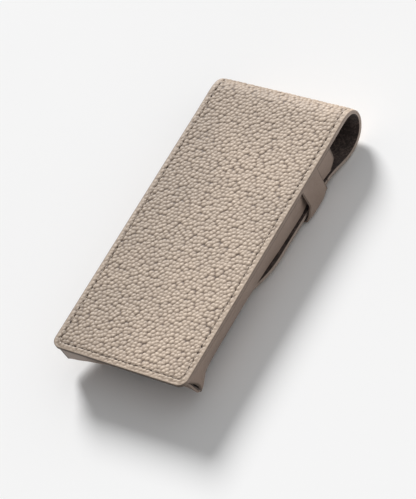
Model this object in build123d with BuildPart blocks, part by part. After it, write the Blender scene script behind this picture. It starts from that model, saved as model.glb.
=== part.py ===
"""Soft pouch glasses case: one leather sheet makes the back panel, the curled bend and the tongue.

The case lies on its flap side. X runs across the case, Y along it from the bottom edge to the
curled bend, Z up, with the back panel on top. The origin is the middle of the footprint, z = 0
is the lowest line of the bend. Inside the script, stations run along Y from the panel's bottom
edge and depths run down from the panel's outer face.
"""

from build123d import *
import math
import os

# Overall sizes, mm
WIDTH = 80.0  # back panel and bend
PANEL_LENGTH = 145.0  # flat part of the sheet, from the bottom edge to the first fold line
FRONT_DEPTH = 15.6  # outer face of the panel to the outer face of the front

# Sheet materials
LEATHER = 1.2
LINING = 0.8
BOARD = 0.6  # stiffener between the panel's leather and lining
FRONT_LINING = 0.6
SHEET = LEATHER + LINING

# Back panel
PANEL_CORNER = 5.0
BOARD_CLEARANCE = 0.4  # board and its lining to the front's seam allowance
BOARD_CORNER = 3.0

# Front piece: a shallow tray with slanted walls, sewn under the panel's border
FRONT_INSET = 2.2  # panel edge to the tray's walls at the seam
FRONT_SLANT = 1.9  # how far each side wall leans in over the depth
BOTTOM_SLANT = 6.5  # how far the bottom wall leans in
FLANGE = 5.0  # seam allowance turned in under the panel
MOUTH_STATION = 143.5  # free edge of the front
CREASE = 1.8  # outer radius where the walls turn into the front; the inner faces meet sharply

# Tongue
TONGUE_GAP = 0.94  # front to tongue
TONGUE_ROOT_HALF = 38.4  # half width under the strap
TONGUE_HALF = 37.5  # half width where the rounded end starts
TONGUE_ROUND = 44.5  # length of the elliptical end
TONGUE_STRAIGHT = 42.0  # root to the start of the rounded end
OPEN_PIVOT_GAP = 0.8  # between the last bend strip and the tongue

# Strap
STRAP_WIDTH = 17.0
STRAP_STATION = 121.5  # middle of the strap along the case
STRAP_GAP = 0.4  # tongue to strap
STRAP_BULGE = 2.3  # how far the strap stands out past the panel's edge
STRAP_TAB = 6.5  # seam allowance turned in under the panel
STRAP_CORNER = 4.5  # outer radius where it turns down and under the tongue
STRAP_SHOULDER = 2.4  # outer radius where it leaves the seam
TAB_CLEARANCE = 0.1  # strap's tabs to the slots they sit in

# Curled bend: strips of equal length, each turning the sheet by this many degrees
TURNS = (0, 23, 52, 66, 24, 20, 12, -17)

SHEET_DROP = FRONT_DEPTH + TONGUE_GAP + SHEET  # panel's outer face to the tongue's outer face


def walk(length):
    """Border points (station, depth) and headings of the bend's outer face for one strip length."""
    station, depth, heading = PANEL_LENGTH, 0.0, 0.0
    borders = [(station, depth, heading)]
    for turn in TURNS:
        angle = math.radians(turn)
        chord = length if turn == 0 else length * math.sin(angle / 2) / (angle / 2)
        station += chord * math.cos(heading + angle / 2)
        depth += chord * math.sin(heading + angle / 2)
        heading += angle
        borders.append((station, depth, heading))
    return borders


STRIP_LENGTH = SHEET_DROP / walk(1.0)[-1][1]
BORDERS = walk(STRIP_LENGTH)


def arc_centre(index):
    """Centre (station, depth) and radius of the outer face of one curved strip."""
    station, depth, heading = BORDERS[index]
    radius = STRIP_LENGTH / math.radians(TURNS[index])
    return station - radius * math.sin(heading), depth + radius * math.cos(heading), radius


def extreme(direction):
    """Furthest reach of the bend's outer face towards a heading of the sheet, from its arcs."""
    for index, turn in enumerate(TURNS):
        first, last = BORDERS[index][2], BORDERS[index + 1][2]
        if turn > 0 and first <= direction <= last:
            station, depth, radius = arc_centre(index)
            return station + radius * math.sin(direction), depth - radius * math.cos(direction)
    return BORDERS[-1][0], BORDERS[-1][1]


LENGTH = extreme(math.pi / 2)[0]
DEPTH = extreme(math.pi)[1]


def y_at(station):
    return station - LENGTH / 2


def z_at(depth):
    return DEPTH - depth


def below(point, offset):
    """Point (y, z) that lies a given depth under the sheet's outer face at a border."""
    station, depth, heading = point
    return y_at(station - offset * math.sin(heading)), z_at(depth + offset * math.cos(heading))


def half_way(index, offset):
    """Point (y, z) half way along a strip, at a depth under its outer face."""
    station, depth, radius = arc_centre(index)
    middle = (BORDERS[index][2] + BORDERS[index + 1][2]) / 2
    reach = radius - offset
    return y_at(station + reach * math.sin(middle)), z_at(depth - reach * math.cos(middle))


os.makedirs("parts", exist_ok=True)


def save(part, name):
    part.label = name
    export_step(part, f"parts/{name}.step")


def outline(half_width, low, high, corner):
    """Rectangle between two stations, with its two corners at the bottom end rounded."""
    with BuildSketch() as shape:
        with BuildLine():
            FilletPolyline(
                (half_width, y_at(high)),
                (half_width, y_at(low)),
                (-half_width, y_at(low)),
                (-half_width, y_at(high)),
                radius=corner,
            )
            Line((-half_width, y_at(high)), (half_width, y_at(high)))
        make_face()
    return shape.sketch


# ---- back panel -------------------------------------------------------------------------------

half = WIDTH / 2

with BuildPart() as back_leather:
    with BuildSketch(Plane.XY.offset(z_at(LEATHER))):
        add(outline(half, 0, PANEL_LENGTH, PANEL_CORNER))
    extrude(amount=LEATHER)
save(back_leather.part, "back_leather")

board_margin = FRONT_INSET + FLANGE + BOARD_CLEARANCE + LINING
board_half = half - board_margin
board_end = PANEL_LENGTH - board_margin

with BuildPart() as back_board:
    with BuildSketch(Plane.XY.offset(z_at(LEATHER + BOARD))):
        add(outline(board_half, board_margin, board_end, BOARD_CORNER))
    extrude(amount=BOARD)
save(back_board.part, "back_board")

with BuildPart() as back_lining:
    with BuildSketch(Plane.XY.offset(z_at(SHEET))):
        add(outline(half, 0, PANEL_LENGTH, PANEL_CORNER))
    extrude(amount=LINING)
    # the lining steps over the board
    with BuildSketch(Plane.XY.offset(z_at(SHEET + BOARD))):
        add(
            outline(
                board_half + LINING,
                board_margin - LINING,
                board_end + LINING,
                BOARD_CORNER + LINING,
            )
        )
    extrude(amount=BOARD)
    with BuildSketch(Plane.XY.offset(z_at(LEATHER + BOARD))):
        add(outline(board_half, board_margin, board_end, BOARD_CORNER))
    extrude(amount=BOARD, mode=Mode.SUBTRACT)
save(back_lining.part, "back_lining")


# ---- front piece ------------------------------------------------------------------------------


def wall(slant, inset, depth):
    """How far in from the panel's edge a slanted wall's face stands at a depth."""
    height = FRONT_DEPTH - SHEET
    return FRONT_INSET + slant * (depth - SHEET) / height + inset * math.hypot(1, slant / height)


def tray_solid(inset, mouth):
    """The tray as a filled block with every face moved in from its outer faces by a distance."""
    upper, lower = SHEET + inset, FRONT_DEPTH - inset
    upper_half = half - wall(FRONT_SLANT, inset, upper)
    lower_half = half - wall(FRONT_SLANT, inset, lower)
    with BuildPart() as block:
        # section across the case
        with BuildSketch(Plane.XZ.offset(-y_at(mouth))):
            with BuildLine():
                Polyline(
                    (-upper_half, z_at(upper)),
                    (-lower_half, z_at(lower)),
                    (lower_half, z_at(lower)),
                    (upper_half, z_at(upper)),
                    close=True,
                )
            make_face()
        extrude(amount=mouth)
        # section along the case
        with BuildSketch(Plane.YZ.offset(-half)):
            with BuildLine():
                Polyline(
                    (y_at(wall(BOTTOM_SLANT, inset, upper)), z_at(upper)),
                    (y_at(wall(BOTTOM_SLANT, inset, lower)), z_at(lower)),
                    (y_at(mouth + 1), z_at(lower)),
                    (y_at(mouth + 1), z_at(upper)),
                    close=True,
                )
            make_face()
        extrude(amount=WIDTH, mode=Mode.INTERSECT)
        if inset == 0:
            creases = block.faces().sort_by(Axis.Z)[0].edges().sort_by(Axis.Y)[:-1]
            fillet(creases, radius=CREASE)
    return block.part


def tray_layer(near, far):
    """One layer of the front piece, between two distances in from its outer faces."""
    beyond = MOUTH_STATION + FLANGE
    window_half = half - FRONT_INSET - FLANGE
    with BuildPart() as layer:
        add(tray_solid(near, MOUTH_STATION))
        add(tray_solid(far, beyond), mode=Mode.SUBTRACT)
        # the top plate is cut back to the seam allowance
        window_low = FRONT_INSET + FLANGE
        with BuildSketch(Plane.XY.offset(z_at(SHEET + far))):
            with Locations((0, y_at((window_low + beyond) / 2))):
                Rectangle(2 * window_half, beyond - window_low)
        extrude(amount=far, mode=Mode.SUBTRACT)
        # slots for the strap's tabs
        for side in (-half, half):
            with BuildSketch(Plane.XY.offset(z_at(SHEET + SHEET + TAB_CLEARANCE))):
                with Locations((side, y_at(STRAP_STATION))):
                    Rectangle(2 * (STRAP_TAB + TAB_CLEARANCE), STRAP_WIDTH + 2 * TAB_CLEARANCE)
            extrude(amount=SHEET + TAB_CLEARANCE, mode=Mode.SUBTRACT)
    return layer.part


save(tray_layer(0, LEATHER), "front_leather")
save(tray_layer(LEATHER, LEATHER + FRONT_LINING), "front_lining")


# ---- strap ------------------------------------------------------------------------------------


def strap_layer(near, far):
    """One layer of the strap, between two distances in from its outer face."""
    outer_depth = SHEET_DROP + STRAP_GAP + SHEET
    widest = half + STRAP_BULGE
    shoulder = SHEET + 0.5 * (outer_depth - SHEET)
    with BuildPart() as layer:
        with BuildSketch(Plane.XZ.offset(-y_at(STRAP_STATION) - STRAP_WIDTH / 2)):
            for inset, mode in ((near, Mode.ADD), (far, Mode.SUBTRACT)):
                with BuildLine():
                    top = z_at(SHEET + inset)
                    bottom = z_at(outer_depth - inset)
                    FilletPolyline(
                        (0, top),
                        (half - inset, top),
                        (widest - inset, z_at(shoulder)),
                        (widest - inset, bottom),
                        (0, bottom),
                        radius=(
                            STRAP_SHOULDER - inset,
                            STRAP_CORNER - inset,
                            STRAP_CORNER - inset,
                        ),
                    )
                    Line((0, bottom), (0, top))
                make_face(mode=mode)
        extrude(amount=STRAP_WIDTH)
        # the tabs end inside the seam
        with BuildSketch(Plane.XY.offset(z_at(SHEET + far))):
            with Locations((0, y_at(STRAP_STATION))):
                Rectangle(2 * (half - STRAP_TAB), STRAP_WIDTH)
        extrude(amount=far, mode=Mode.SUBTRACT)
        mirror(about=Plane.YZ)
    return layer.part


save(strap_layer(0, LEATHER), "strap_leather")
save(strap_layer(LEATHER, SHEET), "strap_lining")


# ---- curled bend ------------------------------------------------------------------------------


def half_width(index):
    """Half width of the sheet at a border: it narrows over the last two strips."""
    narrowing = max(0, index - (len(TURNS) - 2)) / 2
    return half - (half - TONGUE_ROOT_HALF) * narrowing


def strip_layer(index, near, far):
    """One layer of one strip of the bend, between two depths under its outer face."""
    first, last = BORDERS[index], BORDERS[index + 1]
    with BuildPart() as layer:
        with BuildSketch(Plane.YZ.offset(-half)):
            with BuildLine():
                Line(below(first, near), below(first, far))
                Line(below(last, near), below(last, far))
                for offset in (near, far):
                    if TURNS[index] == 0:
                        Line(below(first, offset), below(last, offset))
                    else:
                        ThreePointArc(below(first, offset), half_way(index, offset), below(last, offset))
            make_face()
        extrude(amount=WIDTH)
        start, end = half_width(index), half_width(index + 1)
        if end < half:
            with BuildSketch(Plane.XY):
                with BuildLine():
                    Polyline(
                        (-start, y_at(first[0])),
                        (start, y_at(first[0])),
                        (end, y_at(last[0])),
                        (-end, y_at(last[0])),
                        close=True,
                    )
                make_face()
            extrude(amount=DEPTH, mode=Mode.INTERSECT)
    return layer.part


for number in range(len(TURNS)):
    save(strip_layer(number, 0, LEATHER), f"bend_{number + 1}_leather")
    save(strip_layer(number, LEATHER, SHEET), f"bend_{number + 1}_lining")


# ---- tongue -----------------------------------------------------------------------------------

root = BORDERS[-1][0] - OPEN_PIVOT_GAP
round_start = root - TONGUE_STRAIGHT


def tongue_layer(near, far):
    """One layer of the tongue, between two depths measured in from its outer face."""
    with BuildPart() as layer:
        with BuildSketch(Plane.XY.offset(z_at(SHEET_DROP - near))):
            with BuildLine():
                Polyline(
                    (TONGUE_HALF, y_at(round_start)),
                    (TONGUE_ROOT_HALF, y_at(root)),
                    (-TONGUE_ROOT_HALF, y_at(root)),
                    (-TONGUE_HALF, y_at(round_start)),
                )
                EllipticalCenterArc(
                    (0, y_at(round_start)), TONGUE_HALF, TONGUE_ROUND, start_angle=180, arc_size=180
                )
            make_face()
        extrude(amount=far - near)
    return layer.part


save(tongue_layer(0, LEATHER), "tongue_leather")
save(tongue_layer(LEATHER, SHEET), "tongue_lining")

print("length", round(LENGTH, 3), "depth", round(DEPTH, 3), "strip", round(STRIP_LENGTH, 3))
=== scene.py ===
"""The soft pouch glasses case as it looks: grained and smooth leather, suede lining and stitching.

Lengths below are in millimetres until `Shape.object` writes them in metres. Stations run along the
case from the back panel's bottom edge, depths run down from the panel's outer face, and `run` is
the distance along the one-piece sheet that makes the panel, the bend and the tongue.
"""

import math

import bpy
import numpy as np
from mathutils import Matrix, Vector


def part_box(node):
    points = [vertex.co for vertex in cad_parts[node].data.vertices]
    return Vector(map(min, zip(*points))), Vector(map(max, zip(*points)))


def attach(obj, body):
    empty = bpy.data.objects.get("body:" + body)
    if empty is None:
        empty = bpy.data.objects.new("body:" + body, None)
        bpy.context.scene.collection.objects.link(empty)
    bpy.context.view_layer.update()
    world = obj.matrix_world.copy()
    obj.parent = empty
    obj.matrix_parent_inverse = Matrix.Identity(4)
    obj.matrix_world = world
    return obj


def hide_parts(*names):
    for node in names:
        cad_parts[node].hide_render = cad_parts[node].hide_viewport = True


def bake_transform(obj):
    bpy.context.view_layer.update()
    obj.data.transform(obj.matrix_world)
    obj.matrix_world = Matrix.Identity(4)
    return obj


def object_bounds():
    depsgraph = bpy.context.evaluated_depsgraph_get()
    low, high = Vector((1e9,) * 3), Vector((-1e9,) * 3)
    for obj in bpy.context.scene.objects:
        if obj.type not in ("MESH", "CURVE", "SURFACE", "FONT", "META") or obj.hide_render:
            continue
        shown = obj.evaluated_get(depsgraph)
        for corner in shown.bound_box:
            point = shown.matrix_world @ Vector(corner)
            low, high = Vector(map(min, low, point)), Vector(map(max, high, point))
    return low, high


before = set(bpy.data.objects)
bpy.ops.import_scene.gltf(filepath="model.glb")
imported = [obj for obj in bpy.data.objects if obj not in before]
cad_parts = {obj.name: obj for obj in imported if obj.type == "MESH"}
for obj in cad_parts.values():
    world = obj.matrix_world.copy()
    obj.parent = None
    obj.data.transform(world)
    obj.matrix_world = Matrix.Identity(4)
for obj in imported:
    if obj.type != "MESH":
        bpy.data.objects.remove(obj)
cad_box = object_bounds()

MM = 0.001
rng = np.random.default_rng(7)


# ---- sizes, from the frame -----------------------------------------------------------------------


def node_box(node):
    """Lowest and highest corner of a CAD node, in millimetres."""
    low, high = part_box(node)
    return np.array(low) / MM, np.array(high) / MM


CASE_LENGTH = (cad_box[1].y - cad_box[0].y) / MM
CASE_DEPTH = cad_box[1].z / MM

panel_low, panel_high = node_box("back_leather")
HALF = panel_high[0]
PANEL = panel_high[1] - panel_low[1]
LEATHER = panel_high[2] - panel_low[2]
SHEET = CASE_DEPTH - node_box("bend_1_lining")[0][2]
FRONT_DEPTH = CASE_DEPTH - node_box("front_leather")[0][2]
tongue_low = node_box("tongue_leather")[0]
TONGUE_DEPTH = CASE_DEPTH - tongue_low[2]
TONGUE_TIP = tongue_low[1] + CASE_LENGTH / 2
strap_low, strap_high = node_box("strap_leather")
STRAP_STATIONS = (strap_low[1] + CASE_LENGTH / 2, strap_high[1] + CASE_LENGTH / 2)


# ---- sizes of the soft shapes, as the photo shows them -------------------------------------------

FRONT_LINING = 0.6
LAYER_GAP = 0.02  # between a leather and its lining
PANEL_CORNER = 5.0
TONGUE_ROOT_HALF = 38.0
TONGUE_HALF = 37.5
TONGUE_ROUND = 44.5  # length of the tongue's elliptical end
STRIPS = 8  # strips of the bend, of equal length
STRIP_TURNS = (0, 23, 52, 66, 24, 20, 12, -17)  # degrees that the solid strips turn the sheet by
# degrees that each half of a strip turns the soft sheet by: flat for longer, then an even curl
SOFT_TURNS = (0, 0, 1, 15, 27, 32, 27, 20, 21, 19, 14, 9, 4, 0, -4, -5)


def y_at(station):
    return station - CASE_LENGTH / 2


def z_at(depth):
    return CASE_DEPTH - depth


def smoothstep(value, low, high):
    """Eases from 0 at `low` to 1 at `high`."""
    t = np.clip((value - low) / (high - low), 0, 1)
    return t * t * (3 - 2 * t)


def rounded_off(distance, radius):
    """How far a quarter round falls away at a distance inside the edge that it ends at."""
    return radius - np.sqrt(np.maximum(radius**2 - np.maximum(radius - distance, 0) ** 2, 0))


def curve_through(points, at):
    """Smooth curve through a few (place, value) points, read at the places in `at`."""
    x, y = np.array(points, float).T
    slope = np.gradient(y, x)
    at = np.clip(at, x[0], x[-1])
    i = np.clip(np.searchsorted(x, at) - 1, 0, len(x) - 2)
    h = x[i + 1] - x[i]
    t = (at - x[i]) / h
    return (
        (2 * t**3 - 3 * t**2 + 1) * y[i]
        + (t**3 - 2 * t**2 + t) * h * slope[i]
        + (3 * t**2 - 2 * t**3) * y[i + 1]
        + (t**3 - t**2) * h * slope[i + 1]
    )


# ---- the sheet's run: panel, bend, tongue --------------------------------------------------------

EASE = 5.0  # length over which the bend's curvature eases
BEND_STEP = 0.05  # distance between the points of the bend's curve
NARROWING = 2.2  # strips over which the sheet narrows to the tongue
TIP_ANGLE = math.radians(88)  # the elliptical end stops just short of its last point
OUTLINE_STEP = 0.8


def strip_length():
    """Length of each of the bend's strips, from the depth that they drop the sheet."""
    heading, drop = 0.0, 0.0
    for turn in np.radians(STRIP_TURNS):
        drop += math.sin(heading + turn / 2) * (math.sin(turn / 2) / (turn / 2) if turn else 1)
        heading += turn
    return TONGUE_DEPTH / drop


STRIP = strip_length()
BEND_END = PANEL + STRIP * STRIPS


def bend_curve():
    """The bend's outer face as arrays of run, station, depth and heading."""
    run = np.arange(PANEL - EASE, BEND_END + EASE, BEND_STEP)
    half = np.floor((run - PANEL) / STRIP * 2).astype(int)
    inside = (half >= 0) & (half < 2 * STRIPS)
    turns = np.array(SOFT_TURNS)[np.clip(half, 0, 2 * STRIPS - 1)]
    rate = np.where(inside, turns / STRIP * 2, 0.0)
    ease = np.hanning(int(EASE / BEND_STEP))
    heading = np.radians(np.cumsum(np.convolve(rate, ease / ease.sum(), "same"))) * BEND_STEP
    station = run[0] + np.cumsum(np.cos(heading)) * BEND_STEP
    depth = np.cumsum(np.sin(heading)) * BEND_STEP
    # the drop is evened out along the bend, so that it ends at the tongue's depth
    share = np.clip((run - PANEL) / (BEND_END - PANEL), 0, 1)
    depth += share * (TONGUE_DEPTH - depth[-1])
    return run, station, depth, heading


bend = bend_curve()
TIP_RUN = bend[0][-1] + bend[1][-1] - TONGUE_TIP
ROUND_START = TIP_RUN - TONGUE_ROUND


def on_sheet(x, run, offset):
    """Points at a distance under the sheet's outer face."""
    run = np.asarray(run, float)
    station = np.interp(run, bend[0], bend[1]) + np.minimum(run - bend[0][0], 0)
    station = station - np.maximum(run - bend[0][-1], 0)
    depth = np.interp(run, bend[0], bend[2])
    heading = np.interp(run, bend[0], bend[3])
    y = y_at(station - offset * np.sin(heading))
    z = z_at(depth + offset * np.cos(heading))
    return np.stack(np.broadcast_arrays(x, y, z), -1)


def sheet_half(run):
    """Half width of the sheet: rounded bottom corners, a narrower tongue with an elliptical end."""
    run = np.asarray(run, float)
    corner = rounded_off(run, PANEL_CORNER)
    narrow = (HALF - TONGUE_ROOT_HALF) * smoothstep(run, BEND_END - NARROWING * STRIP, BEND_END)
    narrow = narrow + (TONGUE_ROOT_HALF - TONGUE_HALF) * smoothstep(run, BEND_END, ROUND_START)
    end = np.clip((run - ROUND_START) / TONGUE_ROUND, 0, 1)
    return (HALF - corner - narrow) * np.sqrt(1 - end**2)


def sheet_runs(step):
    """Runs of the sheet's rows, closer together at the rounded corners and at the tip."""
    turn = np.linspace(0, math.pi / 2, int(PANEL_CORNER * 1.6 / step))
    middle = np.arange(PANEL_CORNER + step, ROUND_START, step)
    end_turn = np.linspace(0, TIP_ANGLE, int(TONGUE_ROUND * 1.5 / step))
    end = ROUND_START + TONGUE_ROUND * np.sin(end_turn)
    return np.concatenate([PANEL_CORNER * (1 - np.cos(turn)), middle, end])


def sheet_outline():
    """The sheet's flat outline as a closed run of (x, run) points."""
    run = sheet_runs(OUTLINE_STEP)
    right = np.stack([sheet_half(run), run], -1)
    return np.concatenate([right, right[::-1] * (-1, 1)])


outline = sheet_outline()
POINTS_AT_ONCE = 4000  # measured against the outline together, to save memory


def edge_distance(x, run):
    """Distance of flat points to the sheet's outline."""
    start, end = outline, np.roll(outline, -1, axis=0)
    side = end - start
    length2 = np.maximum((side**2).sum(-1), 1e-12)
    flat = np.stack([x, run], -1).reshape(-1, 2)
    found = np.empty(len(flat))
    for i in range(0, len(flat), POINTS_AT_ONCE):
        some = slice(i, i + POINTS_AT_ONCE)
        to = flat[some, None] - start
        t = np.clip((to * side).sum(-1) / length2, 0, 1)
        found[some] = np.sqrt(((to - t[..., None] * side) ** 2).sum(-1).min(-1))
    return found.reshape(np.shape(x))


# ---- the grain -----------------------------------------------------------------------------------

PEBBLE = 2.3  # mean distance between the grain's pebbles
VALLEY = 0.88  # half width of the valleys between them
RELIEF = 0.47  # height of the pebbles
ROW_PITCH = 0.87 * PEBBLE  # between rows of pebbles, whose seeds lie in a staggered grid
SPARE = 3  # rows and columns of pebbles beyond the sheet
JITTER = 0.33  # how far a seed strays from the grid, in pebbles
SWELL = (0.72, 1.08)  # lowest and highest pebble


def pebbles(x, run):
    """Height of the pebbled surface, from 0 in the valleys to about 1 on the pebbles, at flat
    points.
    """
    columns = int(2 * HALF / PEBBLE) + 2 * SPARE + 2
    rows = int(TIP_RUN / ROW_PITCH) + 2 * SPARE + 2
    jitter = rng.uniform(-JITTER, JITTER, (rows, columns, 2)) * PEBBLE
    swell = rng.uniform(*SWELL, (rows, columns))
    row, column = np.meshgrid(np.arange(rows), np.arange(columns), indexing="ij")
    seed_x = (column + 0.5 * (row % 2)) * PEBBLE - HALF - SPARE * PEBBLE + jitter[..., 0]
    seed_run = (row - SPARE) * ROW_PITCH + jitter[..., 1]
    base_row = np.rint(run / ROW_PITCH).astype(int) + SPARE
    base_column = np.rint((x + HALF) / PEBBLE).astype(int) + SPARE
    # distances and seeds of the nearest and the second nearest pebble
    first = np.full(np.shape(x), 1e9)
    second = first.copy()
    first_x, first_run, second_x, second_run, top = (np.zeros(np.shape(x)) for _ in range(5))
    for i in range(-2, 3):
        for j in range(-2, 3):
            seed = np.clip(base_row + i, 0, rows - 1), np.clip(base_column + j, 0, columns - 1)
            at_x, at_run = seed_x[seed], seed_run[seed]
            away = np.hypot(x - at_x, run - at_run)
            nearer, runner_up = away < first, (away >= first) & (away < second)
            second = np.where(nearer, first, np.where(runner_up, away, second))
            second_x = np.where(nearer, first_x, np.where(runner_up, at_x, second_x))
            second_run = np.where(nearer, first_run, np.where(runner_up, at_run, second_run))
            first = np.where(nearer, away, first)
            first_x = np.where(nearer, at_x, first_x)
            first_run = np.where(nearer, at_run, first_run)
            top = np.where(nearer, swell[seed], top)
    between = np.maximum(np.hypot(first_x - second_x, first_run - second_run), 1e-6)
    border = (second**2 - first**2) / (2 * between)
    t = np.clip(border / VALLEY, 0, 1)
    # the valleys are deepest where three pebbles meet
    dome = 0.5 * t * (2 - t) + 0.62 * (1 - (first / PEBBLE / 0.66) ** 2.5)
    return np.clip(dome * top, 0, 1.1)


# ---- meshes --------------------------------------------------------------------------------------


class Shape:
    """Points, faces and per-point values of one mesh, in millimetres."""

    def __init__(self):
        self.points, self.faces, self.slots = [], [], []
        self.values = {"grain_and_shade": [], "rim": [], "painted_side_shade": []}
        self.normals = []
        self.count = 0

    def add(self, points, faces, slot=0, grain_and_shade=0.8, rim=0.0, painted_side_shade=0.5, normals=None):
        points = np.asarray(points, float).reshape(-1, 3)
        self.points.append(points)
        for key, value in (("grain_and_shade", grain_and_shade), ("rim", rim), ("painted_side_shade", painted_side_shade)):
            self.values[key].append(np.broadcast_to(value, len(points)).astype(float))
        self.normals.append(np.zeros((len(points), 3)) if normals is None else normals)
        self.faces += [tuple(int(v) + self.count for v in face) for face in faces]
        self.slots += [slot] * len(faces)
        self.count += len(points)

    def object(self, name, materials):
        mesh = bpy.data.meshes.new(name)
        points = np.concatenate(self.points)
        mesh.from_pydata((points * MM).tolist(), [], self.faces)
        for key, parts in self.values.items():
            mesh.attributes.new(key, "FLOAT", "POINT").data.foreach_set(
                "value", np.concatenate(parts).astype(np.float32)
            )
        for made in materials:
            mesh.materials.append(made)
        mesh.polygons.foreach_set("material_index", np.array(self.slots, np.int32))
        mesh.polygons.foreach_set("use_smooth", np.ones(len(self.faces), bool))
        mesh.validate()
        thing = bpy.data.objects.new(name, mesh)
        bpy.context.scene.collection.objects.link(thing)
        return thing


def grid_faces(rows, columns):
    """Quads between the points of a grid, row by row."""
    starts = [i * columns + j for i in range(rows - 1) for j in range(columns - 1)]
    return [(a, a + 1, a + columns + 1, a + columns) for a in starts]


def grid_normals(points):
    """Unit normals of a grid of points, along its columns crossed with its rows."""
    along = np.gradient(points, axis=1)
    across = np.gradient(points, axis=0)
    normal = np.cross(along, across)
    return normal / np.maximum(np.linalg.norm(normal, axis=-1, keepdims=True), 1e-12)


def surface_normals(points, faces):
    """Unit normals at the points of a surface of quads."""
    normal = np.zeros_like(points)
    for face in faces:
        a, b, c, d = (points[v] for v in face)
        across = np.cross(c - a, d - b)
        for v in face:
            normal[v] += across
    return normal / np.maximum(np.linalg.norm(normal, axis=1, keepdims=True), 1e-12)


EDGE_RINGS = ((0.14, 0.7), (0.5, 1.0), (0.86, 0.7))  # share of the thickness, share of the bulge
EDGE_SHADE = 0.6  # rim value of the faces beside a cut edge


def thicken(points, faces, near, far, bulge):
    """A closed, round-edged layer of an open surface, between two distances inside it.

    Faces are quads whose normals point out of the object. Returns points, faces and the rim value.
    """
    normal = surface_normals(points, faces)
    outer, inner = points - normal * near, points - normal * far
    count = len(points)
    solid = [tuple(face) for face in faces]
    solid += [tuple(v + count for v in reversed(face)) for face in faces]
    used = {}
    for face in faces:
        for a, b in zip(face, face[1:] + face[:1]):
            used[(a, b)] = used.get((a, b), 0) + 1
    border = [(a, b) for a, b in used if (b, a) not in used]
    out = np.zeros_like(points)
    for a, b in border:
        way = np.cross(points[b] - points[a], normal[a] + normal[b])
        way /= max(np.linalg.norm(way), 1e-12)
        out[a] += way
        out[b] += way
    out /= np.maximum(np.linalg.norm(out, axis=1, keepdims=True), 1e-12)
    edge = sorted({v for pair in border for v in pair})
    place = {v: i for i, v in enumerate(edge)}
    rings, extra = [], []
    thick = far - near
    for share, reach in EDGE_RINGS:
        rings.append(2 * count + sum(len(e) for e in extra))
        level = points[edge] - normal[edge] * (near + share * thick)
        extra.append(level + out[edge] * bulge * reach)
    for a, b in border:
        ladder_a = [a] + [first + place[a] for first in rings] + [a + count]
        ladder_b = [b] + [first + place[b] for first in rings] + [b + count]
        for k in range(len(ladder_a) - 1):
            solid.append((ladder_b[k], ladder_a[k], ladder_a[k + 1], ladder_b[k + 1]))
    made = np.concatenate([outer, inner, *extra])
    rim = np.zeros(len(made))
    rim[2 * count :] = 1
    for v in edge:
        rim[v] = rim[v + count] = EDGE_SHADE
    return made, solid, rim


# ---- materials -----------------------------------------------------------------------------------


# The cut edges' paint is real; its dark colour on the bottom edge is painted shade and its paler
# colour on the bend and tongue is painted light.
FOOT_EDGE_SHADE, PANEL_EDGE, FLAP_EDGE_LIGHT = 0.3, 0.6, 1.0  # values of the rim attribute on cut edges
EDGE_PAINTS_AND_SHADES = (
    (FOOT_EDGE_SHADE, (0.11, 0.08, 0.06)),
    (PANEL_EDGE, (0.275, 0.207, 0.167)),
    (FLAP_EDGE_LIGHT, (0.39, 0.31, 0.258)),
)


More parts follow.
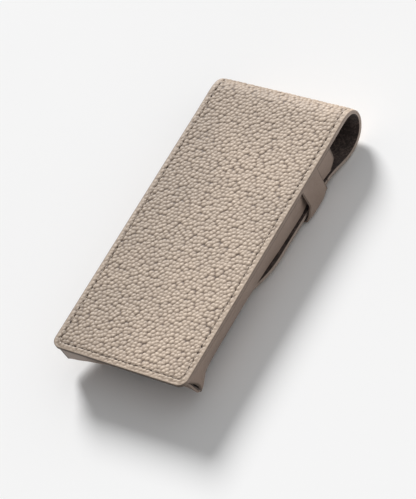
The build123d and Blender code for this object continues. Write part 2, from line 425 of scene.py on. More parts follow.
class Nodes:
    """Short names for building one material's nodes."""

    def __init__(self, name):
        self.material = bpy.data.materials.new(name)
        self.material.use_nodes = True
        self.tree = self.material.node_tree
        self.shader = self.tree.nodes["Principled BSDF"]
        self.coordinates = self.make("ShaderNodeTexCoord").outputs["Object"]

    def make(self, kind, settings=(), **inputs):
        node = self.tree.nodes.new(kind)
        for key, value in dict(settings).items():
            setattr(node, key, value)
        for key, value in inputs.items():
            self.set(node.inputs[key.replace("_", " ")], value)
        return node

    def set(self, socket, value):
        if isinstance(value, bpy.types.NodeSocket):
            self.tree.links.new(value, socket)
        else:
            socket.default_value = value

    def attribute(self, name):
        return self.make("ShaderNodeAttribute", {"attribute_name": name}).outputs["Fac"]

    def noise(self, size, detail=3.0, roughness=0.55, distortion=0.0):
        """Noise whose features are about `size` millimetres wide."""
        node = self.make(
            "ShaderNodeTexNoise",
            Vector=self.coordinates,
            Scale=1 / (size * MM),
            Detail=detail,
            Roughness=roughness,
            Distortion=distortion,
        )
        return node.outputs["Fac"]

    def cells(self, size):
        """Distance to the middle of cells about `size` millimetres wide."""
        node = self.make("ShaderNodeTexVoronoi", Vector=self.coordinates, Scale=1 / (size * MM))
        return node.outputs["Distance"]

    def ramp(self, value, *stops):
        """Colour ramp with stops of (place, colour or grey)."""
        node = self.make("ShaderNodeValToRGB")
        self.set(node.inputs["Fac"], value)
        band = node.color_ramp
        while len(band.elements) < len(stops):
            band.elements.new(0.5)
        for element, (place, colour) in zip(band.elements, stops):
            element.position = place
            element.color = (*colour, 1) if isinstance(colour, tuple) else (colour,) * 3 + (1,)
        return node.outputs["Color"]

    def mix(self, blend, factor, a, b):
        node = self.make("ShaderNodeMix", {"data_type": "RGBA", "blend_type": blend})
        colours = [s for s in node.inputs if s.type == "RGBA"]
        self.set(node.inputs["Factor"], factor)
        for socket, value in zip(colours, (a, b)):
            self.set(socket, (*value, 1) if isinstance(value, tuple) else value)
        return next(s for s in node.outputs if s.type == "RGBA")

    def sum(self, *weighted):
        """Weighted sum of values."""
        total = None
        for value, weight in weighted:
            node = self.make("ShaderNodeMath", {"operation": "MULTIPLY_ADD"})
            self.set(node.inputs[0], value)
            node.inputs[1].default_value = weight
            self.set(node.inputs[2], 0.0 if total is None else total)
            total = node.outputs[0]
        return total

    def bump(self, height, depth):
        """Bump whose height of 1 stands `depth` millimetres proud."""
        node = self.make("ShaderNodeBump", Strength=1.0, Distance=depth * MM, Height=height)
        return node.outputs["Normal"]

    def painted(self, body):
        """The body's colour with the paint of the cut edges over it, which is dark on the bottom
        edge as painted shade and paler on the flap as painted light.
        """
        rim = self.attribute("rim")
        paint = self.ramp(rim, *EDGE_PAINTS_AND_SHADES)
        cover = self.ramp(rim, (0.0, 0.0), (FOOT_EDGE_SHADE, 1.0))
        return self.mix("MIX", cover, body, paint)

    def finish(self, **inputs):
        for key, value in inputs.items():
            self.set(self.shader.inputs[key.replace("_", " ")], value)
        return self.material


def grained_leather():
    """Pebbled leather, with painted shade in its valleys and stitch groove, and painted shade
    towards the panel's left side.
    """
    n = Nodes("grained leather")
    # The colour darkens from the pebbles' tops into the valleys as painted shade.
    body = n.ramp(
        n.attribute("grain_and_shade"),
        (0.0, (0.10, 0.064, 0.043)),
        (0.28, (0.30, 0.221, 0.163)),
        (0.62, (0.475, 0.368, 0.280)),
        (1.0, (0.60, 0.477, 0.370)),
    )
    patches = n.ramp(n.noise(26, 3), (0.3, 0.9), (0.7, 1.06))
    body = n.mix("MULTIPLY", 1.0, body, patches)
    flecks = n.ramp(n.noise(0.7, 4), (0.3, 0.88), (0.7, 1.08))
    body = n.mix("MULTIPLY", 1.0, body, flecks)
    # Painted light and shade across the panel: darker towards its left side, a little lighter
    # towards its right.
    painted_side_shade = n.ramp(n.attribute("painted_side_shade"), (0.0, 0.74), (0.5, 0.945), (1.0, 1.03))
    body = n.mix("MULTIPLY", 1.0, body, painted_side_shade)
    body = n.painted(body)
    fine = n.sum((n.cells(0.42), -0.5), (n.noise(0.3, 4), 0.7))
    roughness = n.sum((n.noise(1.2, 3), 0.22), (n.noise(30, 2), 0.08))
    lifted = n.make("ShaderNodeMath", {"operation": "ADD"})
    n.set(lifted.inputs[0], roughness)
    lifted.inputs[1].default_value = 0.42
    return n.finish(Base_Color=body, Roughness=lifted.outputs[0], Normal=n.bump(fine, 0.07))


def smooth_leather():
    n = Nodes("smooth leather")
    shade = n.ramp(n.noise(14, 4), (0.3, (0.262, 0.192, 0.153)), (0.7, (0.312, 0.233, 0.188)))
    flecks = n.ramp(n.noise(0.6, 4), (0.3, 0.9), (0.7, 1.06))
    shade = n.mix("MULTIPLY", 1.0, shade, flecks)
    shade = n.painted(shade)
    height = n.sum((n.cells(0.9), -0.6), (n.noise(0.5, 5), 0.8), (n.noise(5, 3), 1.2))
    roughness = n.ramp(n.noise(2.5, 3), (0.3, 0.46), (0.7, 0.62))
    return n.finish(Base_Color=shade, Roughness=roughness, Normal=n.bump(height, 0.06))


def suede():
    n = Nodes("suede lining")
    mottled = n.ramp(
        n.sum((n.noise(1.4, 5, 0.7, 0.4), 0.75), (n.noise(9, 3), 0.25)),
        (0.38, (0.024, 0.0145, 0.0115)),
        (0.5, (0.062, 0.041, 0.034)),
        (0.62, (0.17, 0.122, 0.102)),
    )
    body = n.painted(mottled)
    nap = n.sum((n.noise(0.35, 5, 0.7), 1.0), (n.noise(1.6, 3), 0.8))
    bump = n.bump(nap, 0.16)
    return n.finish(
        Base_Color=body, Roughness=0.95, Normal=bump, Sheen_Weight=0.25, Sheen_Roughness=0.5
    )


def thread():
    n = Nodes("thread")
    twist = n.ramp(n.noise(0.5, 2), (0.35, (0.31, 0.25, 0.20)), (0.65, (0.50, 0.42, 0.345)))
    return n.finish(Base_Color=twist, Roughness=0.7, Normal=n.bump(n.noise(0.22, 2), 0.05))


# The slits between stitches are near black: painted shade inside the slits.
def slit_shade():
    n = Nodes("stitch hole")
    dark = n.ramp(n.noise(9, 2), (0.38, (0.03, 0.019, 0.014)), (0.66, (0.15, 0.108, 0.08)))
    return n.finish(Base_Color=dark, Roughness=0.95)


def pressed_board():
    n = Nodes("pressed board")
    fibre = n.ramp(n.noise(1.5, 6, 0.7, 1.5), (0.3, (0.42, 0.38, 0.33)), (0.7, (0.56, 0.52, 0.46)))
    return n.finish(Base_Color=fibre, Roughness=0.9, Normal=n.bump(n.noise(0.6, 4), 0.05))


GRAIN, SMOOTH, SUEDE, THREAD, SLIT, BOARD = (
    grained_leather(),
    smooth_leather(),
    suede(),
    thread(),
    slit_shade(),
    pressed_board(),
)


# ---- the grained sheet ---------------------------------------------------------------------------

STITCH_INSET = 3.3
STITCH_PITCH = 4.1
STITCH = 2.9  # visible length of one stitch
STITCH_LEAN = math.radians(6)
STITCH_RINGS = 7
THREAD_RADIUS = 0.24
THREAD_SIDES = 8
GROOVE = 0.45  # half width of the groove that the stitches lie in
SLIT_SIZE = (0.95, 0.34)  # half length and half width of the slits between stitches
SLIT_RINGS = ((1.0, 0.34), (0.9, 0.02), (0.6, 0.0))  # share of the slit's size, depth
OUTER_COLUMNS = 193
INNER_EVERY = 8  # columns of the outer face for each column of the inner one
ROW_STEP = 0.42
EDGE_ROUND = 0.16  # radius of the outer face's edge
SIDE_EDGE = 0.3  # width of the inner face's painted border
WORN = (36.9, 29.0)  # flat place of a small dark worn spot on the right-hand stitches
WORN_SIZE = (0.8, 2.4)
# pieces of the sheet run from the middle of one strip to the middle of the next
MIDDLES = [PANEL - STRIP / 2] + [PANEL + STRIP * (k + 0.5) for k in range(STRIPS)]
CUTS = (*MIDDLES, BEND_END)


def piece_rows(step):
    """Runs of the sheet's rows with one on each cut, and the first and last rows of its pieces."""
    run = sheet_runs(step)
    for cut in CUTS:
        run[np.abs(run - cut).argmin()] = cut
    ends = [0, *(int(np.abs(run - cut).argmin()) for cut in CUTS), len(run) - 1]
    return run, list(zip(ends, ends[1:]))


def sheet_values(run):
    """Runs, flat points, edge distances, offsets and colour values of the leather sheet's outer
    face, whose dark valleys and stitch groove are painted shade.
    """
    across = np.linspace(-1, 1, OUTER_COLUMNS)
    x = across * sheet_half(run)[:, None]
    runs = np.broadcast_to(run[:, None], x.shape)
    edge = edge_distance(x, runs)
    height = pebbles(x, runs)
    margin = smoothstep(edge, 0.2, STITCH_INSET)
    groove = np.exp(-(((edge - STITCH_INSET) / GROOVE) ** 2))
    relief = RELIEF * height * (0.3 + 0.7 * margin) * (1 - 0.5 * groove)
    relief = relief * smoothstep(edge, 0.0, 0.7)
    offset = rounded_off(edge, EDGE_ROUND) + 0.1 * groove + RELIEF * 0.55 - relief
    # The outer face's colour value: the valleys darker as painted shade, less so in the margin, the
    # stitch groove darker as painted shade, and a small dark worn spot.
    shade = 1 - (1 - height) * (0.5 + 0.5 * margin)
    worn_x, worn_run = (x - WORN[0]) / WORN_SIZE[0], (runs - WORN[1]) / WORN_SIZE[1]
    worn = np.exp(-(worn_x**2) - worn_run**2) * (height < 0.8)
    return run, x, runs, edge, offset, shade * (1 - 0.55 * groove) * (1 - 0.75 * worn)


def tube_faces(rings, sides, turned=False):
    """Faces of a closed tube through rings of points, or of one turned the other way out."""
    faces = []
    for i in range(rings - 1):
        here, there = i * sides, (i + 1) * sides
        for j in range(sides):
            a, b = (j, (j + 1) % sides) if turned else ((j + 1) % sides, j)
            faces.append((here + a, here + b, there + b, there + a))
    start, end = range(sides), range((rings - 1) * sides, rings * sides)
    caps = (end, reversed(start)) if turned else (start, reversed(end))
    return faces + [tuple(cap) for cap in caps]


def stitch_line():
    """The closed line that the stitches follow, as flat points, and the length up to each."""
    inward = np.roll(outline, -1, axis=0) - np.roll(outline, 1, axis=0)
    inward = np.stack([-inward[:, 1], inward[:, 0]], -1)
    inward /= np.maximum(np.linalg.norm(inward, axis=1, keepdims=True), 1e-9)
    line = outline + inward * STITCH_INSET
    line = line[edge_distance(line[:, 0], line[:, 1]) > STITCH_INSET - 0.05]
    line = np.concatenate([line, line[:1]])
    return line, np.concatenate([[0], np.cumsum(np.linalg.norm(np.diff(line, axis=0), axis=1))])


def add_stitches(shape, from_run, to_run):
    """Adds the stitches of a stretch of the sheet and the slits between them."""
    line, length = stitch_line()
    count = int(length[-1] / STITCH_PITCH)
    cos, sin = math.cos(STITCH_LEAN), math.sin(STITCH_LEAN)

    def at(distance):
        return np.array([np.interp(distance % length[-1], length, line[:, k]) for k in (0, 1)])

    turn = np.linspace(0, 2 * math.pi, THREAD_SIDES, endpoint=False)
    for k in range(count):
        middle = (k + 0.5) * length[-1] / count
        centre = at(middle)
        if not from_run <= centre[1] < to_run:
            continue
        way = at(middle + 0.5) - at(middle - 0.5)
        way /= np.linalg.norm(way)
        way = np.array([way[0] * cos - way[1] * sin, way[0] * sin + way[1] * cos])
        cross = np.array([-way[1], way[0]])
        rings = []
        for place in np.linspace(-1, 1, STITCH_RINGS):
            thin = THREAD_RADIUS * math.sqrt(max(1 - 0.75 * place**4, 0.05))
            flat = centre + way * place * STITCH / 2 + cross * (np.cos(turn) * thin)[:, None]
            low = 0.1 + 0.34 * abs(place) ** 3 - np.sin(turn) * thin
            rings.append(on_sheet(flat[:, 0], flat[:, 1], low))
        shape.add(np.array(rings), tube_faces(STITCH_RINGS, THREAD_SIDES), slot=1)
        # the slit that the thread goes into after the stitch
        slit = np.outer(np.cos(turn), way) * SLIT_SIZE[0]
        slit = slit + np.outer(np.sin(turn), cross) * SLIT_SIZE[1]
        discs = []
        for reach, low in SLIT_RINGS:
            flat = at(middle + STITCH_PITCH / 2) + slit * reach
            discs.append(on_sheet(flat[:, 0], flat[:, 1], np.full(THREAD_SIDES, low)))
        shape.add(np.array(discs), tube_faces(len(SLIT_RINGS), THREAD_SIDES, turned=True), slot=2)


def edge_paint_and_shade(run):
    """Rim value of the painted edge along the sheet: darker on the bottom edge as painted shade,
    paler on the bend and tongue as painted light.
    """
    side = FOOT_EDGE_SHADE + (PANEL_EDGE - FOOT_EDGE_SHADE) * smoothstep(run, 0.6, 4)
    return side + (FLAP_EDGE_LIGHT - PANEL_EDGE) * smoothstep(run, PANEL - 6, PANEL + 12)


MITRE = (0.12, 0.32)  # gap at the outer face, and its growth towards the lining
MITRE_LENGTH = 3.0


def mitred(name, run, offset):
    """Runs of the bend's last stretch, cut back so that it can swing up at the tongue."""
    if not name.endswith("_end"):
        return run
    back = smoothstep(run, BEND_END - MITRE_LENGTH, BEND_END)
    return run - (MITRE[0] + MITRE[1] * offset) * back


def sheet_piece(name, values, first, last, normals):
    """One stretch of the leather sheet as a closed mesh with its stitches, from row to row."""
    run, x, runs, edge, offset, grain_and_shade = (v[first : last + 1] for v in values)
    rows, outer = x.shape
    inner_columns = list(range(0, outer, INNER_EVERY))
    inner = len(inner_columns)
    top = on_sheet(x, mitred(name, runs, offset), offset)
    inner_x = x[:, inner_columns]
    inner_edge = edge[:, inner_columns]
    inner_runs = mitred(name, runs[:, inner_columns], LEATHER)
    round_edge = 0.1 * np.maximum(1 - inner_edge / SIDE_EDGE, 0)
    under = on_sheet(inner_x, inner_runs, LEATHER - round_edge)
    ring = outer + inner
    points = np.concatenate([top, under[:, ::-1]], axis=1)
    faces = []
    for i in range(rows - 1):
        for r in range(ring):
            s = (r + 1) % ring
            faces.append((i * ring + r, i * ring + s, (i + 1) * ring + s, (i + 1) * ring + r))
    for row, is_last in ((0, False), (rows - 1, True)):
        for c in range(inner - 1):
            cap = [row * ring + j for j in range(inner_columns[c], inner_columns[c + 1] + 1)]
            cap += [row * ring + outer + inner - 1 - (c + 1), row * ring + outer + inner - 1 - c]
            faces.append(tuple(cap if is_last else reversed(cap)))
    under_normals = -on_sheet_normals(runs[:, inner_columns])
    all_normals = np.concatenate([normals[first : last + 1], under_normals[:, ::-1]], axis=1)
    rim_top = 1 - smoothstep(edge, 0.02, 0.25)
    rim = np.concatenate([rim_top, (inner_edge < SIDE_EDGE)[:, ::-1]], axis=1)
    rim = rim * edge_paint_and_shade(run)[:, None]
    shades = np.concatenate([grain_and_shade, np.full(inner_x.shape, 0.8)], axis=1)
    flat_x = np.concatenate([x, inner_x[:, ::-1]], axis=1)
    shape = Shape()
    shape.add(
        points,
        faces,
        grain_and_shade=shades.ravel(),
        rim=rim.ravel(),
        painted_side_shade=(flat_x / HALF / 2 + 0.5).ravel(),
        normals=all_normals.reshape(-1, 3),
    )
    add_stitches(shape, run[0] if first else -1, run[-1])
    return shape


def on_sheet_normals(runs):
    """Outward normals of the plain sheet."""
    heading = np.interp(runs, bend[0], bend[3])
    return np.stack([np.zeros_like(heading), np.sin(heading), np.cos(heading)], -1)


def piece_object(shape, name, materials):
    """The object of a stretch of sheet: stored normals on its faces, plain ones on the rest."""
    thing = shape.object(name, materials)
    mesh = thing.data
    stored = np.concatenate(shape.normals)
    plain = np.zeros(len(mesh.vertices) * 3)
    mesh.vertices.foreach_get("normal", plain)
    plain = plain.reshape(-1, 3)
    empty = np.linalg.norm(stored, axis=1) < 0.5
    stored[empty] = plain[empty]
    corner, total = np.zeros(len(mesh.loops), int), np.zeros(len(mesh.polygons), int)
    mesh.loops.foreach_get("vertex_index", corner)
    mesh.polygons.foreach_get("loop_total", total)
    flat = np.zeros(len(mesh.polygons) * 3)
    mesh.polygons.foreach_get("normal", flat)
    flat = np.repeat(flat.reshape(-1, 3), total, axis=0)
    stored = stored[corner]
    cut_edge = (stored * flat).sum(axis=1) < 0.4
    stored[cut_edge] = flat[cut_edge]
    mesh.normals_split_custom_set(stored.tolist())
    return thing


def build_sheet():
    run, pieces = piece_rows(ROW_STEP)
    values = sheet_values(run)
    _, x, runs, _, offset, _ = values
    normals = grid_normals(on_sheet(x, runs, offset))
    strips = [f"bend_skin_{k + 1}" for k in range(STRIPS)]
    names = ["panel", *strips, "bend_skin_end", "flap_tongue"]
    made = []
    for name, (first, last) in zip(names, pieces):
        shape = sheet_piece(name, values, first, last, normals)
        thing = piece_object(shape, name, [GRAIN, THREAD, SLIT])
        made.append(thing)
    place_along_bend(made, "leather")


def place_along_bend(made, layer):
    """Puts the panel's, the bend's last and the tongue's stretches of a layer on their bodies, and
    leaves the bend's other stretches where they lie in the frame.
    """
    panel, strips, end, tongue = made[0], made[1:-2], made[-2], made[-1]
    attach(panel, "pouch")
    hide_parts(f"back_{layer}")
    bodies = ["pouch"] + [f"bend_{k + 1}" for k in range(len(strips))]
    for k, strip in enumerate(strips):
        start, stop = (Vector(on_sheet(0.0, m, 0.0) * MM) for m in MIDDLES[k : k + 2])
        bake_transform(strip)
        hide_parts(f"bend_{k + 1}_{layer}")
    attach(end, bodies[-1])
    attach(tongue, "tongue")
    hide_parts(f"tongue_{layer}")


# ---- the sheet's lining --------------------------------------------------------------------------

LINING_COLUMNS = 65
LINING_STEP = 1.0
LINING_INSET = 0.05
LINING_ROUND = 0.12  # radius of the lining's edge


def build_sheet_lining():
    run, pieces = piece_rows(LINING_STEP)
    strips = [f"bend_suede_{k + 1}" for k in range(STRIPS)]
    names = ["panel_lining", *strips, "bend_suede_end", "tongue_suede"]
    widest = math.pi / 2 * 0.97
    across = np.sin(np.linspace(-1, 1, LINING_COLUMNS) * widest) / math.sin(widest)
    made = []
    for name, (first, last) in zip(names, pieces):
        rows = run[first : last + 1]
        x = across * (sheet_half(rows)[:, None] - LINING_INSET)
        runs = np.broadcast_to(rows[:, None], x.shape)
        edge = edge_distance(x, runs)
        inside = on_sheet(x, mitred(name, runs, SHEET), SHEET - rounded_off(edge, LINING_ROUND))
        outside = on_sheet(x, mitred(name, runs, LEATHER), LEATHER + LAYER_GAP)
        count = x.size
        columns = x.shape[1]
        upper = grid_faces(*x.shape)
        faces = upper + [tuple(v + count for v in reversed(face)) for face in upper]
        loop = list(range(columns))
        loop += [i * columns + columns - 1 for i in range(1, len(rows))]
        loop += [(len(rows) - 1) * columns + j for j in range(columns - 2, -1, -1)]
        loop += [i * columns for i in range(len(rows) - 2, 0, -1)]
        faces += [(b, a, a + count, b + count) for a, b in zip(loop, loop[1:] + loop[:1])]
        rim = (1 - smoothstep(edge, LINING_ROUND, SIDE_EDGE)) * edge_paint_and_shade(rows)[:, None]
        shape = Shape()
        flat_normals = on_sheet_normals(runs).reshape(-1, 3)
        shape.add(
            np.concatenate([outside.reshape(-1, 3), inside.reshape(-1, 3)]),
            faces,
            rim=np.concatenate([rim.ravel(), rim.ravel()]),
            normals=np.concatenate([flat_normals, -flat_normals]),
        )
        thing = piece_object(shape, name, [SUEDE])
        made.append(thing)
    place_along_bend(made, "lining")


# ---- the front piece -----------------------------------------------------------------------------

MOUTH = 143.2
MOUTH_ROUND = 4.5
CREASE = 1.7  # radius of the creases
WALL_ROWS = 14
CREASE_ROWS = 6
FRONT_COLUMNS = 40
FRONT_ROWS = 70
SEAM_GAP = 0.03  # between the panel's lining and the walls' tops
SEAM_INSET = 0.22
LEAN = 1.15  # power of the walls' lean: steeper at the seam

# where the side walls' crease runs, as (station, half width): pinched in, flared at the corner
SIDE_CREASE = (
    (7.3, 38.9), (8.8, 38.8), (11, 38.1), (14.7, 36.8), (17, 36.0), (20, 35.5), (24, 35.3),
    (40, 35.2), (67, 35.3), (80, 35.8), (91, 36.5), (113, 37.3), (136, 37.7), (144, 38.7),
)  # fmt: skip
# where the bottom wall's crease runs, as (x, station): it flares towards both corners
BOTTOM_CREASE = (
    (-38.6, 3.0), (-35, 3.0), (-30.5, 3.2), (-26.5, 3.8), (-22, 4.3), (-18.8, 4.7), (-8, 6.2),
    (10, 7.6), (26, 8.2), (34, 7.8), (38.9, 7.3),
)  # fmt: skip
BOTTOM_SEAM = 1.6
BOTTOM_HALF = 38.0  # about half the bottom wall's length
CORNER = (38.4, 1.6)  # where the gaping right-hand corner starts under the panel
CORNER_FOOT = (38.9, 7.3)
LEFT_CORNER = 37.0
LEFT_FOOT = (38.6, 3.0)
LEFT_SHIFT = 4.3  # how much lower the left crease flares
STRAP_DENT = 1.9  # how far the strap presses the side walls in
# raw edges of the side wall and of the bottom wall at the gaping corner, as (depth, station)
WALL_END = ((2, 2.6), (5.7, 5.4), (10.3, 7.7), (12.6, 8.2), (14, 7.9), (15.6, 7.3))
BOTTOM_END = (
    (2, 2.4), (4.6, 3.75), (7.5, 4.3), (11.5, 4.95), (14.1, 5.7), (15.0, 6.4), (15.6, 7.3),
)  # fmt: skip


def corner_line(side, t):
    """Pinched corner where the bottom wall meets a side wall, as (x, station) down the depth."""
    if side > 0:
        top, foot = CORNER[0], CORNER_FOOT
        station = curve_through(WALL_END, SHEET + (FRONT_DEPTH - SHEET) * t)
    else:
        top, foot = LEFT_CORNER, LEFT_FOOT
        station = CORNER[1] + (foot[1] - CORNER[1]) * t
    return top + (foot[0] - top) * t + 0.3 * np.sin(math.pi * np.clip(t, 0, 1)), station


def crease_radius(away):
    """Radius of the creases at a distance from a corner: the pinched corners press them flat."""
    return CREASE * (1 - 0.93 * np.exp(-np.maximum(away, 0) / 5))


def side_wall(side, v, t):
    """Points (x, station, depth) of a side wall: v from corner to mouth, t down the depth."""
    corner_x, corner_station = corner_line(side, t)
    low_station = corner_line(side, 1.0)[1]
    mouth_turn = smoothstep(t, 0.55, 1.0) ** 2 * 0.999
    mouth = MOUTH - MOUTH_ROUND * (1 - np.sqrt(1 - mouth_turn))
    station = corner_station + (mouth - corner_station) * v
    crease_station = low_station + (MOUTH - low_station) * v
    seam_x = sheet_half(station) - SEAM_INSET
    shift = 0.0 if side > 0 else LEFT_SHIFT * np.exp(-(crease_station - LEFT_FOOT[1]) / 12)
    crease_x = curve_through(SIDE_CREASE, crease_station + shift)
    belly = 0.25 * np.sin(math.pi * t) * smoothstep(v, 0.02, 0.2)
    x = seam_x + (crease_x - seam_x) * t**LEAN + belly
    low, high = STRAP_STATIONS
    pressed = smoothstep(station, low - 2.5, low + 4)
    pressed = pressed * (1 - smoothstep(station, high - 0.6, high + 0.6))
    pressed = pressed * smoothstep(t, 0.0, 0.15) * (1 - 0.7 * smoothstep(t, 0.7, 1.0))
    x = x - STRAP_DENT * pressed
    near = np.exp(-(station - corner_station) / 3.5)
    x = x * (1 - near) + corner_x * near
    foot = FRONT_DEPTH - crease_radius(crease_station - low_station)
    depth = SHEET + SEAM_GAP + (foot - SHEET - SEAM_GAP) * t
    return np.stack(np.broadcast_arrays(side * x, station, depth), -1)


def front_surface():
    """The front piece's outer face: side walls and front, as rows from the bottom to the mouth."""
    even = np.linspace(0, 1, FRONT_ROWS)
    v = 0.5 * (1 - np.cos(np.linspace(0, math.pi, FRONT_ROWS))) * 0.35 + even * 0.65
    # more rows where the strap's upper edge presses the walls in
    at_strap = (STRAP_STATIONS[1] + np.linspace(-1.6, 1.2, 9) - 6.0) / (MOUTH - 6.0)
    v = np.unique(np.concatenate([v, at_strap]))
    t = np.linspace(0, 1, WALL_ROWS)
    turn = np.linspace(0, math.pi / 2, CREASE_ROWS)[1:]
    across = np.linspace(0, 1, FRONT_COLUMNS + 2)[1:-1]
    rows = []
    for share in v:
        sides = {}
        for side in (1, -1):
            wall = side_wall(side, share, t)
            x, station, depth = wall[-1]
            # the crease turns from the wall into the front
            radius = FRONT_DEPTH - depth
            inward = radius * (1 - np.cos(turn))
            along = station + inward * max(0.0, 1 - share * 12)
            fold = np.stack([x - side * inward, along, depth + radius * np.sin(turn)], -1)
            sides[side] = np.concatenate([wall, fold])
        right, left = sides[1], sides[-1][::-1]
        middle = right[-1] + (left[0] - right[-1]) * across[:, None]
        from_corner = CORNER_FOOT[0] - np.abs(middle[:, 0])
        flat = curve_through(BOTTOM_CREASE, middle[:, 0]) + crease_radius(from_corner)
        middle[:, 1] += (flat - middle[:, 1]) * max(0.0, 1 - share * 6)
        rows.append(np.concatenate([right, middle, left]))
    return np.array(rows)


def to_frame(points):
    """From (x, station, depth) to the frame's x, y, z."""
    points = np.asarray(points, float)
    return np.stack([points[..., 0], y_at(points[..., 1]), z_at(points[..., 2])], -1)


def bottom_wall(first_row):
    """The bottom wall below the front's first row, as rows from the seam to that row."""
    start = WALL_ROWS + CREASE_ROWS - 2
    front = first_row[start : len(first_row) - start]
    share = (front[:, 0] - front[-1, 0]) / (front[0, 0] - front[-1, 0]) * 2 - 1
    near = np.exp(-(1 - np.abs(share)) * BOTTOM_HALF / 3.0)
    rows = []
    for t in np.linspace(0, 1, WALL_ROWS):
        right_x, right_station = corner_line(1, t)
        left_x, left_station = corner_line(-1, t)
        gaping = curve_through(BOTTOM_END, SHEET + (FRONT_DEPTH - SHEET) * t)
        x = np.where(share > 0, share * (right_x - 0.5), share * (left_x - 0.5))
        end = np.where(share > 0, gaping - 0.1, left_station - 0.5)
        crease = curve_through(BOTTOM_CREASE, x)
        station = BOTTOM_SEAM + (crease - BOTTOM_SEAM) * t**LEAN - 0.25 * math.sin(math.pi * t)
        station = station * (1 - near) + end * near
        foot = FRONT_DEPTH - crease_radius(CORNER_FOOT[0] - np.abs(x))
        rows.append(np.stack([x, station, SHEET + SEAM_GAP + (foot - SHEET - SEAM_GAP) * t], -1))
    foot = rows[-1]
    for turn in np.linspace(0, math.pi / 2, CREASE_ROWS)[1:-1]:
        moved = foot + (front - foot) * (1 - math.cos(turn))
        moved[:, 2] = foot[:, 2] + (FRONT_DEPTH - foot[:, 2]) * math.sin(turn)
        rows.append(moved)
    rows.append(front)
    return np.array(rows)


def build_layers(points, faces, bulge, layers):
    """Builds the leather and the lining of an open surface, which ride on the pouch."""
    for name, near, far, material, slot, node in layers:
        solid, solid_faces, rim = thicken(points, faces, near, far, bulge)
        shape = Shape()
        shape.add(solid, solid_faces, rim=rim * PANEL_EDGE if material is SMOOTH else 0.0)
        thing = shape.object(name, [material])
        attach(thing, "pouch")
        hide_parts(node)


def build_front():
    main = front_surface()
    bottom = bottom_wall(main[0])
    points = to_frame(main).reshape(-1, 3)
    # columns run from right to left as seen from above, rows towards the mouth, so that normals
    # point down and out; the bottom wall's last row is the front's first
    faces = grid_faces(*main.shape[:2])
    low_rows, low_columns = bottom.shape[:2]
    first = len(points)
    joined = np.concatenate([points, to_frame(bottom)[:-1].reshape(-1, 3)])
    start = WALL_ROWS + CREASE_ROWS - 2

    def index(i, j):
        return start + j if i == low_rows - 1 else first + i * low_columns + j

    for i in range(low_rows - 1):
        for j in range(low_columns - 1):
            faces.append((index(i, j), index(i, j + 1), index(i + 1, j + 1), index(i + 1, j)))
    lined = LEATHER + LAYER_GAP, LEATHER + FRONT_LINING
    layers = (
        ("front_shell", 0.0, LEATHER, SMOOTH, "smooth_leather", "front_leather"),
        ("front_suede", *lined, SUEDE, "suede_lining", "front_lining"),
    )
    build_layers(joined, faces, 0.16, layers)


# ---- the strap -----------------------------------------------------------------------------------


def rounded_path(corners, radii, count):
    """Points spaced evenly along a path of straight runs with rounded corners."""
    corners = [np.array(c, float) for c in corners]
    path = [corners[0]]
    for before, at, after, radius in zip(corners, corners[1:], corners[2:], radii):
        to_before = (before - at) / np.linalg.norm(before - at)
        to_after = (after - at) / np.linalg.norm(after - at)
        half = math.acos(max(-1, min(1, float(to_before @ to_after)))) / 2
        reach = radius / math.tan(half)
        start, end = at + to_before * reach, at + to_after * reach
        for s in np.linspace(0, 1, 12):
            path.append((1 - s) ** 2 * start + 2 * s * (1 - s) * at + s**2 * end)
    path.append(corners[-1])
    path = np.array(path)
    length = np.concatenate([[0], np.cumsum(np.linalg.norm(np.diff(path, axis=0), axis=1))])
    at = np.linspace(0, length[-1], count)
    return np.stack([np.interp(at, length, path[:, k]) for k in range(path.shape[1])], -1)


STRAP_THICKNESS = (0.9, 0.3)  # leather and lining
STRAP_SKEW = 5.0  # how much further down the strap's lower edge lies under the case than beside it
STRAP_ROWS = 26
STRAP_COLUMNS = 120  # on each side of the middle


def strap_surface():
    """The strap's outer face as rows across its width, upper edge first."""
    low, high = STRAP_STATIONS
    rows = []
    for share in np.linspace(0, 1, STRAP_ROWS):
        # the upper edge hugs the flap, the rest stands off it and the lower edge curls back under
        off = float(smoothstep(share, 0.0, 0.3))
        lifted = float(smoothstep(share, 0.3, 1.0))
        tucked = float(smoothstep(share, 0.74, 1.0))
        # corners of a cross section as (x, depth), from the seam to the middle of the case
        corners = (
            (34.0, SHEET + SEAM_GAP),
            (39.75, SHEET + SEAM_GAP),
            (39.3 + 0.6 * lifted, 8.5),
            (39.15 + 0.75 * off + 0.25 * lifted, 14.0),
            (39.15 + 0.95 * off - 0.2 * tucked, 17.4),
            (38.9 + 0.95 * off - 1.1 * tucked, 19.85 + 1.0 * off - 0.2 * tucked),
            (20, CASE_DEPTH - 0.6 * (1 - off)),
            (0, CASE_DEPTH - 0.6 * (1 - off)),
        )
        radii = (0.5, 6.0, 6.0, 2.0, 1.5 + 1.4 * off, 20.0)
        side = rounded_path(corners, radii, STRAP_COLUMNS)
        lower = low + 2.6 - STRAP_SKEW * smoothstep(side[:, 1], 12.5, 20.3)
        right = np.stack([side[:, 0], high + 0.8 + (lower - high - 0.8) * share, side[:, 1]], -1)
        left = right[::-1][1:] * (-1, 1, 1)
        rows.append(np.concatenate([right, left]))
    return np.array(rows)


def build_strap():
    surface = strap_surface()[::-1]
    points = to_frame(surface).reshape(-1, 3)
    faces = grid_faces(*surface.shape[:2])
    lined = STRAP_THICKNESS[0] + LAYER_GAP, sum(STRAP_THICKNESS)
    layers = (
        ("strap", 0.0, STRAP_THICKNESS[0], SMOOTH, "smooth_leather", "strap_leather"),
        ("strap_suede", *lined, SUEDE, "suede_lining", "strap_lining"),
    )
    build_layers(points, faces, 0.18, layers)


# ---- scene ---------------------------------------------------------------------------------------


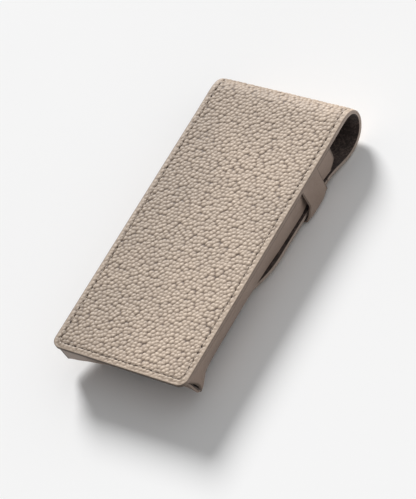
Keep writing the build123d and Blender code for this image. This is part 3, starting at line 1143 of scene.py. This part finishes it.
# the photo's camera, in metres and directions of the frame
CAMERA_PLACE = (0.7224, -0.49106, 0.97943)
CAMERA_RIGHT = Vector((0.801, 0.4826, -0.3542))
CAMERA_BACK = Vector((0.5536, -0.3721, 0.7451))
LENS = 194.8
SENSOR = 36.0


def build_camera():
    data = bpy.data.cameras.new("camera")
    data.lens = LENS
    data.sensor_width = SENSOR
    data.clip_start, data.clip_end = 0.1, 10.0
    camera = bpy.data.objects.new("camera", data)
    right, back = CAMERA_RIGHT.normalized(), CAMERA_BACK.normalized()
    up = back.cross(right).normalized()
    right = up.cross(back)
    turned = Matrix((right, up, back)).transposed().to_4x4()
    camera.matrix_world = Matrix.Translation(CAMERA_PLACE) @ turned
    bpy.context.scene.collection.objects.link(camera)
    bpy.context.scene.camera = camera


AMBIENT = 0.4
FILL_FROM = (0.82, 0.57, 0.0)  # the room is brighter on this side
FILL = 0.9  # share of the ambient light that the side adds or takes away
KEY_FROM = Vector((-0.70, 0.727, 0.574)).normalized()
KEY_ANGLE = math.radians(19)


def build_light():
    """A room that is brighter on one side, and a soft key light across the case."""
    world = bpy.data.worlds.new("studio")
    world.use_nodes = True
    tree = world.node_tree
    background = tree.nodes["Background"]
    background.inputs["Color"].default_value = (1.0, 1.0, 1.0, 1)
    towards = tree.nodes.new("ShaderNodeTexCoord")
    side = tree.nodes.new("ShaderNodeVectorMath")
    side.operation = "DOT_PRODUCT"
    side.inputs[1].default_value = FILL_FROM
    strength = tree.nodes.new("ShaderNodeMath")
    strength.operation = "MULTIPLY_ADD"
    strength.inputs[1].default_value = AMBIENT * FILL
    strength.inputs[2].default_value = AMBIENT
    tree.links.new(towards.outputs["Generated"], side.inputs[0])
    tree.links.new(side.outputs["Value"], strength.inputs[0])
    tree.links.new(strength.outputs[0], background.inputs["Strength"])
    bpy.context.scene.world = world
    data = bpy.data.lights.new("key", "SUN")
    data.energy = (1 - AMBIENT) * math.pi / KEY_FROM.z
    data.angle = KEY_ANGLE
    key = bpy.data.objects.new("key", data)
    key.rotation_mode = "QUATERNION"
    key.rotation_quaternion = KEY_FROM.to_track_quat("Z", "Y")
    bpy.context.scene.collection.objects.link(key)


FLOOR_REACH = 3.0


def build_floor():
    n = Nodes("floor")
    tint = n.ramp(n.noise(300, 2), (0.3, 0.905), (0.7, 0.92))
    n.finish(Base_Color=tint, Roughness=1.0, Specular_IOR_Level=0.0)
    mesh = bpy.data.meshes.new("floor")
    ways = ((-1, -1), (1, -1), (1, 1), (-1, 1))
    mesh.from_pydata([(x * FLOOR_REACH, y * FLOOR_REACH, 0) for x, y in ways], [], [(0, 1, 2, 3)])
    mesh.materials.append(n.material)
    floor = bpy.data.objects.new("floor", mesh)
    bpy.context.scene.collection.objects.link(floor)


def paint_board():
    """The board keeps its CAD solid, in the board's own material."""
    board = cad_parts["back_board"]
    board.data.materials.clear()
    board.data.materials.append(BOARD)


build_sheet()
build_sheet_lining()
build_front()
build_strap()
paint_board()
build_floor()
build_light()
build_camera()
bpy.context.scene.view_settings.view_transform = "Standard"
